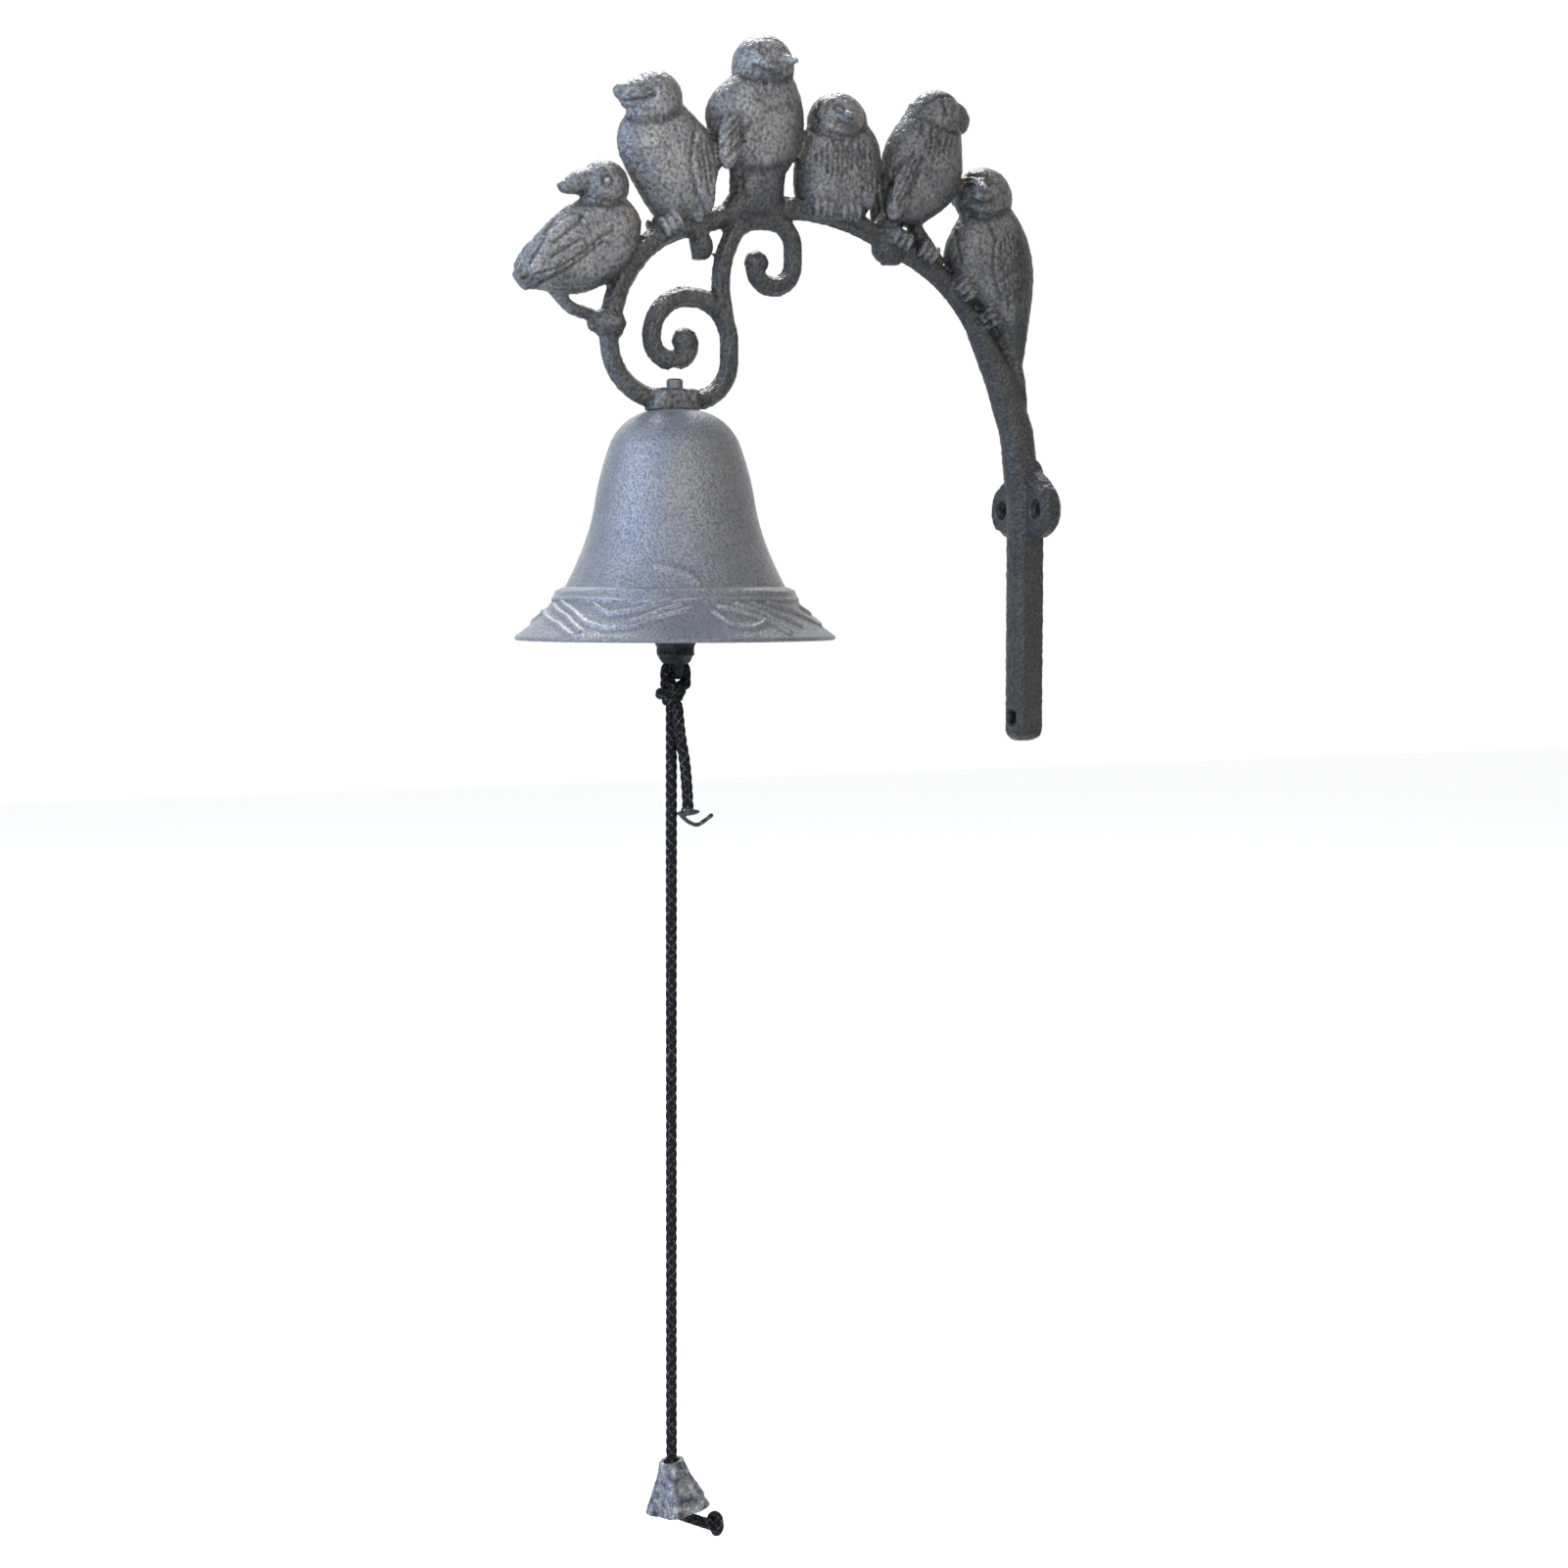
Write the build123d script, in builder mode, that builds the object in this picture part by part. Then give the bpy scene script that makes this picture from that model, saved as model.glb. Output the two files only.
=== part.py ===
from build123d import *
import math
import os

os.makedirs("parts", exist_ok=True)

# Gate bell on a cast branch bracket.
# The frame: X = 0 is the wall, +X points into it, +Z is up, and the bracket lies in the plane Y = 0.
# Z = 0 is the height of the two screws in the ears of the wall plate.

# Wall plate
bar_width = 10.5
bar_depth = 10.9
bar_bottom_z = -84.6
bar_top_z = 19.0
bar_front_round = 3.2
bar_end_round = 4.0
bar_top_round = 6.5
ear_span = 37.6
ear_height = 20.6
ear_thickness = 8.0
ear_web_rise = 15.0
ear_web_span = 26.0
ear_edge_bevel = 2.0
ear_screw_spacing = 23.0
ear_screw_hole = 5.0
ear_screw_sink = 9.0
foot_screw_hole = 5.0
foot_screw_sink = 8.0
foot_screw_rise = 8.6

# Branch and scrolls
arch_radius = 4.1
scroll_radius = 3.6
rod_sides = 6
wire_sides = 6
big_scroll_bulb = 4.9
small_scroll_bulb = 4.6
knot_radius = 6.2
twig_radius = 2.3
trunk_half_depth = 5.25

# Bell and the pad that it hangs from
bell_x = -146.0
pad_bottom_z = 32.0
pad_thickness = 7.4
pad_length = 18.0
pad_width = 12.0
crown_thickness = 3.3
bell_wall = 3.2
rim_radius = 55.2
rim_drop = 78.3
crown_radius = 8.5
shoulder_drop = 10.8
waist_drop = 31.0
waist_radius = 27.4
shoulder_radius = 22.0
ridge_radius = 42.2
ridge_drop = 61.0

# Hanger pin, link and clapper
pin_diameter = 4.0
pin_clearance = 0.1
pin_head_diameter = 5.6
pin_head_height = 3.4
collar_diameter = 10.0
collar_thickness = 2.0
eye_radius = 4.0
eye_wire = 1.3
link_radius = 5.0
link_wire = 1.2
chain_gap = 0.3
clapper_length = 48.2
shaft_radius = 2.6
striker_radius = 8.5
nose_radius = 6.45
nose_drop = 10.0
tab_thickness = 2.8
tab_width = 8.5
tab_height = 7.0
cord_hole = 4.8

# Pull cord and weight
cord_diameter = 3.8
cord_gap = 0.35
cord_sides = 8
weight_top_radius = 4.4
weight_bottom_radius = 9.4
weight_height = 18.0
weight_wall = 2.4
weight_ribs = 5
rib_radius = 3.1
weight_sides = 10
weight_bore_gap = 0.9
weight_tilt = -10.0
cord_drop = 265.8


def half_turn_radii(points, share):
    """Radius at each corner of a route, so that each arc takes a share of its shorter run."""
    radii = []
    for before, corner, after in zip(points, points[1:], points[2:]):
        way_in = Vector(corner) - Vector(before)
        way_out = Vector(after) - Vector(corner)
        turn = math.radians(way_in.get_angle(way_out))
        radii.append(share * min(way_in.length, way_out.length) / math.tan(turn / 2))
    return radii


def in_plane(points):
    """Points of the bracket's middle plane, given as (x, z)."""
    return [(x, 0, z) for x, z in points]


def rod(corners, bends, radius):
    """A cast rod in the middle plane: straight runs between corners (x, z), each bent to its own radius."""
    with BuildPart() as piece:
        with BuildLine() as route:
            FilletPolyline(*in_plane(corners), radius=bends)
        with BuildSketch(Plane(origin=route.line @ 0, x_dir=(0, 1, 0), z_dir=route.line % 0)):
            RegularPolygon(radius, rod_sides, major_radius=True, rotation=180 / rod_sides)
        sweep()
    return piece.part


def cross_section(x, z, half_width, half_depth, heading=90.0, fullness=2.3):
    """A rounded outline square to a heading in the middle plane, fuller than an ellipse."""
    along = (math.cos(math.radians(heading)), 0, math.sin(math.radians(heading)))
    across = (math.sin(math.radians(heading)), 0, -math.cos(math.radians(heading)))
    corners = []
    for step in range(8):
        c = math.cos(math.tau * step / 8)
        s = math.sin(math.tau * step / 8)
        u = math.copysign(abs(c) ** (2 / fullness), c) if step % 4 != 2 else 0
        v = math.copysign(abs(s) ** (2 / fullness), s) if step % 4 != 0 else 0
        corners.append((half_width * u, half_depth * v))
    with BuildSketch(Plane(origin=(x, 0, z), x_dir=across, z_dir=along)) as outline:
        with BuildLine():
            Spline(*corners, periodic=True)
        make_face()
    return outline.sketch


def loft_through(sections, straight=False):
    with BuildPart() as piece:
        loft(sections=sections, ruled=straight)
    return piece.part


def ball(x, y, z, radius, flat=1.0):
    """A ball, or one pressed flatter along Y."""
    with BuildPart() as piece:
        Sphere(radius)
        if flat != 1.0:
            scale(by=(1, flat, 1))
    return piece.part.moved(Location((x, y, z)))


def bead(x, z, radius, flat=0.9):
    """A ball of a few flat facets, for a knot in the branch or the end of a scroll."""
    with BuildPart() as piece:
        for share in (-0.95, -0.6, 0, 0.6, 0.95):
            with BuildSketch(Plane(origin=(x, share * radius * flat, z), z_dir=(0, 1, 0))):
                RegularPolygon(radius * math.sqrt(1 - share ** 2), 8)
        loft(ruled=True)
    return piece.part


def spike(base, tip, base_radius, tip_radius, sides=6):
    """A blunt faceted spike between two points, as for a beak, a toe or a broken twig."""
    reach = Vector(*tip) - Vector(*base)
    with BuildPart() as piece:
        with BuildSketch(Plane(origin=base, z_dir=reach)):
            RegularPolygon(base_radius, sides)
        with BuildSketch(Plane(origin=tip, z_dir=reach)):
            RegularPolygon(tip_radius, sides)
        loft(ruled=True)
    return piece.part


def bird(perch, rows, head, beak_base, beak_tip, beak_radius, heading=90.0):
    """A perched bird: a body through cross sections, a head and a beak, all measured from its perch.

    Each row is (way along the heading, left edge, right edge, half depth).
    """
    c = math.cos(math.radians(heading))
    s = math.sin(math.radians(heading))
    sections = []
    for along, left, right, half_depth in rows:
        middle = (left + right) / 2
        sections.append(cross_section(along * c + middle * s, along * s - middle * c,
                                      (right - left) / 2, half_depth, heading))
    head_x, head_z, head_radius = head
    pieces = [
        loft_through(sections),
        ball(head_x, 0, head_z, head_radius, 0.85),
        spike(beak_base, beak_tip, beak_radius, 0.7),
    ]
    return [piece.moved(Location((perch[0], 0, perch[1]))) for piece in pieces]


# Where each bird sits, from the free end of the branch to the wall
perch_one = (bell_x - 34, 85)
perch_two = (bell_x - 2, 95.5)
perch_three = (bell_x + 31.5, 111)
perch_four = (-84.5, 100)
perch_five = (-56, 99.8)
perch_six = (-11.5, 50)

bird_one = bird(
    perch_one,
    [(-25.5, -8.2, -1.0, 2.2), (-18, -10.6, 5.0, 4.8), (-9, -13.2, 11.6, 7.2),
     (1, -14.2, 14.2, 8.2), (10, -13.0, 14.0, 8.0), (18, -9.6, 10.0, 6.6), (22, -7.6, 6.0, 5.4)],
    (8.2, 21.2, 8.6), (4, 0, 22.2), (-9, 0, 20.2), 4.8, heading=38.5)
bird_two = bird(
    perch_two,
    [(0, -3, 9, 4.0), (6.5, -8.8, 14.2, 6.6), (14.5, -14, 17, 8.0),
     (23.5, -18.4, 17.8, 8.2), (32.5, -17.4, 12.6, 7.6), (41.5, -12, 3, 5.4)],
    (-4.8, 41.1, 9.4), (-10, 0, 42.9), (-20.4, 0, 42.5), 4.8)
bird_three = bird(
    perch_three,
    [(0, -7, 7.5, 4.6), (6, -11.5, 12.1, 7.0), (15, -17.5, 16.5, 8.2),
     (25, -18.9, 16.9, 8.4), (33, -12.9, 14.7, 7.6), (40, -5.5, 9.5, 6.0)],
    (2.3, 39.2, 11.2), (6.1, -6, 40.6), (8.9, -13.2, 40.2), 3.8)
bird_four = bird(
    perch_four,
    [(0, -10, 9.5, 5.0), (6, -14.3, 14.1, 7.4), (16, -15.3, 17.3, 8.2),
     (26, -13.1, 17.1, 8.0), (35, -7.5, 10.5, 6.0)],
    (1.3, 33.2, 11.0), (-1.1, -6, 35.4), (0.5, -13, 34.6), 3.6)
bird_five = bird(
    perch_five,
    [(0, -6, 5.5, 4.0), (6.2, -9.2, 14.6, 7.0), (15.2, -9.8, 21.6, 8.2),
     (25.2, -8.4, 22.4, 8.2), (34.2, -3.6, 22, 7.4), (43.2, 2.4, 19, 5.6)],
    (12.6, 39.1, 9.5), (18, 0, 39.4), (26.4, 0, 38.6), 4.6)
bird_six = bird(
    perch_six,
    [(0, -3.9, 4.1, 3.8), (12, -6.1, 5.9, 5.2), (24, -18, 7.5, 7.4),
     (36, -27.1, 8.1, 8.4), (47, -25.9, 5.7, 8.2), (60, -18.5, -3.5, 6.4)],
    (-12.1, 61.4, 11.0), (-18, -6.5, 64.4), (-18.3, -13.2, 62.8), 3.6)
birds = bird_one + bird_two + bird_three + bird_four + bird_five + bird_six


def by(perch, x, z, y=0):
    """A point in the bracket, measured from a bird's perch."""
    return (perch[0] + x, y, perch[1] + z)


def foot(perch, x, z):
    return spike(by(perch, x, z + 0.6, 1), by(perch, x, z - 0.6, -6.4), 3.8, 2.2)


# Tails that hang under the branch, feet, and the stump under the top bird
tail_two = spike(by(perch_two, 11.4, 3.5), by(perch_two, 11, -11.9), 5.0, 2.4)
tail_five = spike(by(perch_five, -6.8, -1.8), by(perch_five, -6.4, -14), 6.6, 3.0)
stump = loft_through([
    cross_section(perch_three[0] - 1.3, perch_three[1] - 11, 14.5, 4.4),
    cross_section(perch_three[0] - 0.3, perch_three[1] - 4, 10.0, 5.6),
    cross_section(perch_three[0] + 0.1, perch_three[1] + 4, 10.2, 6.0)], straight=True)
feet = [
    foot(perch_two, -1.5, -0.9), foot(perch_two, 8.5, 2.5),
    foot(perch_four, -5, 3.4), foot(perch_four, 4.5, 2.6),
    foot(perch_five, -1.5, -4.8), foot(perch_five, 6, -7.2),
    foot(perch_six, -23.1, 29), foot(perch_six, -14.1, 19.4)]

# The branch: from the knot at the free end, over the arch, down to the trunk
knot_x = bell_x - 24.2
knot_z = 60.6
arch = rod(
    [(knot_x, knot_z), (knot_x + 3.6, knot_z + 14), (knot_x + 15.8, knot_z + 30.4),
     (-100.4, 106.6), (-72.7, 98.3), (-37.7, 82.6), (-22, 58.6)],
    [33, 34, 80, 60, 60], arch_radius)
leg_one = rod([(knot_x - 20.8, knot_z + 11), (knot_x - 14.3, knot_z + 4.4), (knot_x, knot_z + 0.6)], [9], twig_radius)
leg_five = spike(by(perch_five, 3.5, -0.3), by(perch_five, 14.5, -13), 3.4, 2.8)
trunk = loft_through([
    cross_section(-25.6, 65.4, 4.3, 4.3, -55),
    cross_section(-16.2, 48, 5.7, 5.0, -66),
    cross_section(-8.7, 28, 6.3, trunk_half_depth, -76),
    cross_section(-6.6, 12, 6.4, trunk_half_depth, -84),
    cross_section(-bar_depth / 2, 0, bar_depth / 2 - 0.2, trunk_half_depth - 0.1, -90)], straight=True)
branch_knot = bead(knot_x, knot_z, knot_radius)
branch_nose = spike((knot_x - 1.8, 0, knot_z), (knot_x - 7.4, 0, knot_z - 1.2), 4.6, 1.8)

# The loop below the knot carries the pad, and its other end curls up into the big scroll
pad_top_z = pad_bottom_z + pad_thickness
loop_z = pad_bottom_z + pad_thickness / 2
scroll_x = bell_x + 20.7
scroll_z = loop_z + 35.2
loop_left = rod([(bell_x + 2, loop_z), (knot_x, loop_z), (knot_x, knot_z)], [19], scroll_radius)
big_scroll = rod(
    [(bell_x - 6, loop_z), (scroll_x, loop_z), (scroll_x, scroll_z), (scroll_x - 29.3, scroll_z),
     (scroll_x - 29.3, scroll_z - 21.9), (scroll_x - 15.1, scroll_z - 21.9), (scroll_x - 15.1, scroll_z - 14.9)],
    [14, 14.8, 14, 7.6, 6], scroll_radius)
big_bulb = bead(scroll_x - 16.9, scroll_z - 15.1, big_scroll_bulb)
curl_x = bell_x + 45.4
curl_z = perch_three[1] - 12.7
small_scroll = rod(
    [(scroll_x - 0.9, scroll_z - 10.9), (scroll_x - 4.3, scroll_z + 8.6), (curl_x - 21, curl_z), (curl_x, curl_z),
     (curl_x, curl_z - 22.5), (curl_x - 14.8, curl_z - 22.5), (curl_x - 14.8, curl_z - 14.9)],
    [30, 11, 9, 8, 6.4], scroll_radius)
small_bulb = bead(curl_x - 14.2, curl_z - 14.7, small_scroll_bulb)

# Wall plate: a bar flat against the wall, with two ears
with BuildPart() as wall_plate:
    with BuildSketch(Plane.XY.offset(bar_bottom_z)):
        with Locations((-bar_depth / 2, 0)):
            Rectangle(bar_depth, bar_width)
    extrude(amount=bar_top_z - bar_bottom_z)
    fillet(wall_plate.edges().filter_by(Axis.Z).group_by(Axis.X)[0], bar_front_round)
    fillet(wall_plate.edges().filter_by(Axis.Y).group_by(Axis.Z)[0], bar_end_round)
    fillet(wall_plate.edges().filter_by(Axis.Y).group_by(Axis.Z)[-1].sort_by(Axis.X)[-1], bar_top_round)

with BuildPart() as ears:
    with BuildSketch(Plane.YZ):
        SlotOverall(ear_span, ear_height)
        Polygon((-ear_web_span / 2, 0), (ear_web_span / 2, 0), (ear_web_span / 2, ear_height / 2 - 0.4),
                (bar_width / 2, ear_web_rise), (-bar_width / 2, ear_web_rise),
                (-ear_web_span / 2, ear_height / 2 - 0.4), align=None)
    extrude(amount=-ear_thickness)
    chamfer(ears.faces().filter_by(Axis.X).edges(), ear_edge_bevel)

with BuildPart() as pad:
    with BuildSketch(Plane.XY.offset(pad_bottom_z)):
        with Locations((bell_x - 1, 0)):
            RectangleRounded(pad_length, pad_width, 4.0)
    extrude(amount=pad_thickness)
    chamfer(pad.faces().sort_by(Axis.Z)[-1].edges(), 1.2)

# The bracket is one casting, drilled for the screws and the hanger pin
foot_screw_z = bar_bottom_z + foot_screw_rise
with BuildPart() as bracket:
    add([wall_plate.part, ears.part, trunk, arch])
    add([big_scroll, small_scroll, loop_left, big_bulb, small_bulb])
    add([branch_knot, branch_nose, pad.part, tail_two, tail_five, stump, leg_one, leg_five])
    add(birds)
    add(feet)
    with Locations(Plane(origin=(-ear_thickness, 0, 0), x_dir=(0, 1, 0), z_dir=(-1, 0, 0))):
        with GridLocations(ear_screw_spacing, 0, 2, 1):
            CounterSinkHole(ear_screw_hole / 2, ear_screw_sink / 2)
    with Locations(Plane(origin=(-bar_depth, 0, foot_screw_z), x_dir=(0, 1, 0), z_dir=(-1, 0, 0))):
        CounterSinkHole(foot_screw_hole / 2, foot_screw_sink / 2)
    with Locations((bell_x, 0, pad_bottom_z)):
        Hole(pin_diameter / 2 + pin_clearance, depth=2 * pad_thickness)
bracket.part.label = "bracket"
export_step(bracket.part, "parts/bracket.step")

# Bell: outer and inner profile, turned about the bell's axis
rim_z = pad_bottom_z - rim_drop
ridge_z = pad_bottom_z - ridge_drop
shoulder_z = pad_bottom_z - shoulder_drop
waist_z = pad_bottom_z - waist_drop
crown_inner_z = pad_bottom_z - crown_thickness
ridge_step = 3.8
pin_hole = pin_diameter / 2 + pin_clearance
inner_radius = ridge_radius - bell_wall - 0.6
with BuildPart() as bell:
    with BuildSketch(Plane.XZ):
        with BuildLine():
            Polyline((pin_hole, crown_inner_z), (pin_hole, pad_bottom_z), (crown_radius, pad_bottom_z))
            SagittaArc((crown_radius, pad_bottom_z), (shoulder_radius, shoulder_z), 2.1)
            SagittaArc((shoulder_radius, shoulder_z), (waist_radius, waist_z), 0.55)
            SagittaArc((waist_radius, waist_z), (ridge_radius - ridge_step, ridge_z), -1.45)
            Polyline((ridge_radius - ridge_step, ridge_z), (ridge_radius - 1.2, ridge_z - 0.2),
                     (ridge_radius, ridge_z - 1.6), (ridge_radius - 0.3, ridge_z - 4))
            SagittaArc((ridge_radius - 0.3, ridge_z - 4), (rim_radius - 0.6, rim_z + 1.6), -0.65)
            Polyline((rim_radius - 0.6, rim_z + 1.6), (rim_radius, rim_z + 0.7), (rim_radius - 0.8, rim_z),
                     (rim_radius - 2.6, rim_z + 0.2), (inner_radius, ridge_z - 5.5))
            Polyline((inner_radius, ridge_z - 5.5), (inner_radius - 6.4, ridge_z + 7),
                     (waist_radius, waist_z - 12), (waist_radius - bell_wall, waist_z),
                     (shoulder_radius - bell_wall - 0.4, shoulder_z - 2.6),
                     (crown_radius + 4.9, crown_inner_z - 2.4), (crown_radius, crown_inner_z),
                     (pin_hole, crown_inner_z))
        make_face()
    revolve(axis=Axis.Z)
bell.part = bell.part.moved(Location((bell_x, 0, 0)))
bell.part.label = "bell"
export_step(bell.part, "parts/bell.step")


def ring_at(z, ring_radius, wire_radius, turned=False):
    """A ring of wire below the bell, in the plane Y = 0, or turned into the plane X = 0."""
    with BuildPart() as piece:
        with BuildSketch(Plane.XY):
            with Locations((ring_radius, 0)):
                RegularPolygon(wire_radius, wire_sides, major_radius=True)
        revolve(axis=Axis.Y)
    return piece.part.moved(Location((bell_x, 0, z), (0, 0, 90 if turned else 0)))


# Hanger pin: a peened head on the pad, a shank through pad and crown, a collar and an eye below
collar_bottom_z = crown_inner_z - collar_thickness
eye_z = collar_bottom_z - eye_radius - eye_wire + 0.4
with BuildPart() as pin_body:
    with BuildSketch(Plane.XZ):
        with BuildLine():
            Polyline((0, collar_bottom_z), (collar_diameter / 2, collar_bottom_z),
                     (collar_diameter / 2, crown_inner_z), (pin_diameter / 2, crown_inner_z),
                     (pin_diameter / 2, pad_top_z), (pin_head_diameter / 2, pad_top_z),
                     (pin_head_diameter / 2, pad_top_z + pin_head_height - 0.6),
                     (pin_head_diameter / 2 - 0.6, pad_top_z + pin_head_height),
                     (0, pad_top_z + pin_head_height), (0, collar_bottom_z))
        make_face()
    revolve(axis=Axis.Z)
with BuildPart() as hanger_pin:
    add(pin_body.part.moved(Location((bell_x, 0, 0))))
    add(ring_at(eye_z, eye_radius, eye_wire))
hanger_pin.part.label = "hanger_pin"
export_step(hanger_pin.part, "parts/hanger_pin.step")

# Link between the pin's eye and the clapper's eye
wire_step = eye_wire + link_wire + chain_gap
link_hinge_z = eye_z - eye_radius
link_z = link_hinge_z + wire_step - link_radius
with BuildPart() as clapper_link:
    add(ring_at(link_z, link_radius, link_wire, turned=True))
clapper_link.part.label = "clapper_link"
export_step(clapper_link.part, "parts/clapper_link.step")

# Clapper: an eye, a shaft, a drop-shaped striker and a thin tab with the cord's hole
clapper_hinge_z = link_z - link_radius
clapper_eye_z = clapper_hinge_z + wire_step - eye_radius
shaft_top_z = clapper_eye_z - eye_radius
striker_z = shaft_top_z - clapper_length
nose_z = striker_z - nose_drop
tab_bottom_z = nose_z - tab_height
cord_hole_z = tab_bottom_z + tab_height - cord_hole / 2 - 0.2
with BuildPart() as clapper_body:
    with BuildSketch(Plane.XZ):
        with BuildLine():
            Polyline((0, shaft_top_z), (shaft_radius, shaft_top_z), (shaft_radius, striker_z + 12))
            Polyline((shaft_radius, striker_z + 12), (striker_radius - 2.8, striker_z + 6.4),
                     (striker_radius, striker_z + 1), (striker_radius, striker_z - 1.5),
                     (nose_radius, striker_z - 6), (nose_radius, nose_z + 1.4),
                     (nose_radius - 1.6, nose_z), (0, nose_z), (0, shaft_top_z))
        make_face()
    revolve(axis=Axis.Z)
    with BuildSketch(Plane.YZ):
        with BuildLine():
            Polyline((-tab_width / 2, nose_z + 1), (tab_width / 2, nose_z + 1),
                     (tab_width / 2, tab_bottom_z + 3), (tab_width / 2 - 2.4, tab_bottom_z),
                     (-tab_width / 2 + 2.4, tab_bottom_z), (-tab_width / 2, tab_bottom_z + 3),
                     (-tab_width / 2, nose_z + 1))
        make_face()
    extrude(amount=tab_thickness / 2, both=True)
    with Locations(Plane(origin=(0, 0, cord_hole_z), z_dir=(1, 0, 0))):
        Hole(cord_hole / 2)
with BuildPart() as clapper:
    add(clapper_body.part.moved(Location((bell_x, 0, 0))))
    add(ring_at(clapper_eye_z, eye_radius, eye_wire))
clapper.part.label = "clapper"
export_step(clapper.part, "parts/clapper.step")

cord_radius = cord_diameter / 2
cord_section = cord_sides / 2 * cord_radius ** 2 * math.sin(math.tau / cord_sides)


def cord_tube(points, share=0.45):
    """A cord along straight runs and tangent arcs, with its radii printed."""
    radii = half_turn_radii(points, share)
    print("cord radii", [round(radius, 1) for radius in radii])
    with BuildPart() as piece:
        with BuildLine() as route:
            FilletPolyline(*points, radius=radii)
        with BuildSketch(Plane(origin=route.line @ 0, z_dir=route.line % 0)):
            RegularPolygon(cord_radius, cord_sides, major_radius=True)
        sweep()
    length = sum(edge.length for edge in route.edges())
    print("cord length", round(length, 1),
          "volume share", round(piece.part.volume / (length * cord_section), 4))
    return piece.part


# Loop of the cord: a half turn in the tab's hole, two strands, and the knot below the tab
loop_half = tab_thickness / 2 + cord_gap + cord_radius
loop_bend_z = cord_hole_z - loop_half
knot_top_z = tab_bottom_z - 0.9
knot_bottom_z = knot_top_z - 5.6
with BuildPart() as loop_strand:
    with BuildLine():
        Line((bell_x - loop_half, 0, knot_top_z - 0.5), (bell_x - loop_half, 0, loop_bend_z))
        ThreePointArc((bell_x - loop_half, 0, loop_bend_z), (bell_x, 0, cord_hole_z),
                      (bell_x + loop_half, 0, loop_bend_z))
        Line((bell_x + loop_half, 0, loop_bend_z), (bell_x + loop_half, 0, knot_top_z - 0.5))
    with BuildSketch(Plane(origin=(bell_x - loop_half, 0, knot_top_z - 0.5), z_dir=(0, 0, 1))):
        RegularPolygon(cord_radius, cord_sides, major_radius=True)
    sweep()
with BuildPart() as knot_body:
    for half_width, height in ((3.6, knot_top_z), (5.2, knot_top_z - 1.3), (4.8, knot_top_z - 3.4), (2.8, knot_bottom_z)):
        with BuildSketch(Plane.XY.offset(height)):
            RegularPolygon(half_width, cord_sides, major_radius=True)
    loft(ruled=True)
with BuildPart() as cord_loop:
    add(loop_strand.part)
    add(knot_body.part.moved(Location((bell_x - 1.0, 0, 0))))
cord_loop.part.label = "cord_loop"
export_step(cord_loop.part, "parts/cord_loop.step")

# The hanging cord turns about the underside of the knot, so its top end is domed
cord_x = bell_x - 1.6
cord_pivot_z = knot_bottom_z - chain_gap - cord_radius
weight_x = cord_x - 1.0
weight_top_z = cord_pivot_z - cord_drop
end_knot_x = weight_x + 17.2
end_knot_z = weight_top_z - 26.6
cord_top = Vector(cord_x, 0, cord_pivot_z)
weight_entry = Vector(weight_x, 0, weight_top_z - 6)
with BuildPart() as pull_cord:
    add(cord_tube([
        tuple(cord_top), tuple(weight_entry),
        (weight_x + 0.4, 0, weight_top_z - 18.6), (weight_x + 7.5, 0, weight_top_z - 22.2),
        (end_knot_x, 0, end_knot_z)]))
    with BuildSketch(Plane(origin=cord_top, z_dir=cord_top - weight_entry)):
        RegularPolygon(cord_radius * 0.97, cord_sides, major_radius=True)
    extrude(amount=cord_radius * 0.75, taper=28)
    add(spike((end_knot_x - 1.2, 0, end_knot_z + 0.3), (end_knot_x + 2.4, 0, end_knot_z - 0.6), 3.1, 2.6, 8))
pull_cord.part.label = "pull_cord"
export_step(pull_cord.part, "parts/pull_cord.step")

# Short free end beside the cord, with its own small knot
tail_y = -cord_diameter - 0.15
tail_end = (cord_x + 4.9, tail_y + 1.15, cord_pivot_z - 35.7)
with BuildPart() as cord_tail:
    add(cord_tube([
        (cord_x + 0.5, tail_y, cord_pivot_z - 0.6), (cord_x + 1.3, tail_y, cord_pivot_z - 10.5),
        (cord_x + 3.9, tail_y + 0.4, cord_pivot_z - 21.5), tail_end]))
    add(spike(tail_end, (tail_end[0], tail_end[1], tail_end[2] - 3.4), 4.0, 3.6, 8))
cord_tail.part.label = "cord_tail"
export_step(cord_tail.part, "parts/cord_tail.step")

# Pull weight: a hollow cone with rounded ribs, threaded on the cord and leaning on it
with BuildPart() as weight_body:
    add(spike((0, 0, -weight_height), (0, 0, 0), weight_bottom_radius, weight_top_radius, weight_sides))
    for step in range(weight_ribs):
        angle = math.tau * (step + 0.3) / weight_ribs
        c = math.cos(angle)
        s = math.sin(angle)
        add(spike((c * weight_bottom_radius, s * weight_bottom_radius, -weight_height),
                  (c * weight_top_radius * 0.5, s * weight_top_radius * 0.5, -1.2), rib_radius, rib_radius * 0.6, 8))
    add(spike((0, 0, -weight_height - 1), (0, 0, -3), weight_bottom_radius - weight_wall + 0.5,
              cord_radius + 1.0, weight_sides), mode=Mode.SUBTRACT)
    Hole(cord_radius + weight_bore_gap, depth=weight_height)
pull_weight = weight_body.part.moved(Location((weight_x, 0, weight_top_z), (0, weight_tilt, 0)))
pull_weight.label = "pull_weight"
export_step(pull_weight, "parts/pull_weight.step")

print("hinges", round(link_hinge_z, 3), round(clapper_hinge_z, 3), round(cord_pivot_z, 3))
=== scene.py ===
import math
import bpy
from mathutils import Matrix, Vector


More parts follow.
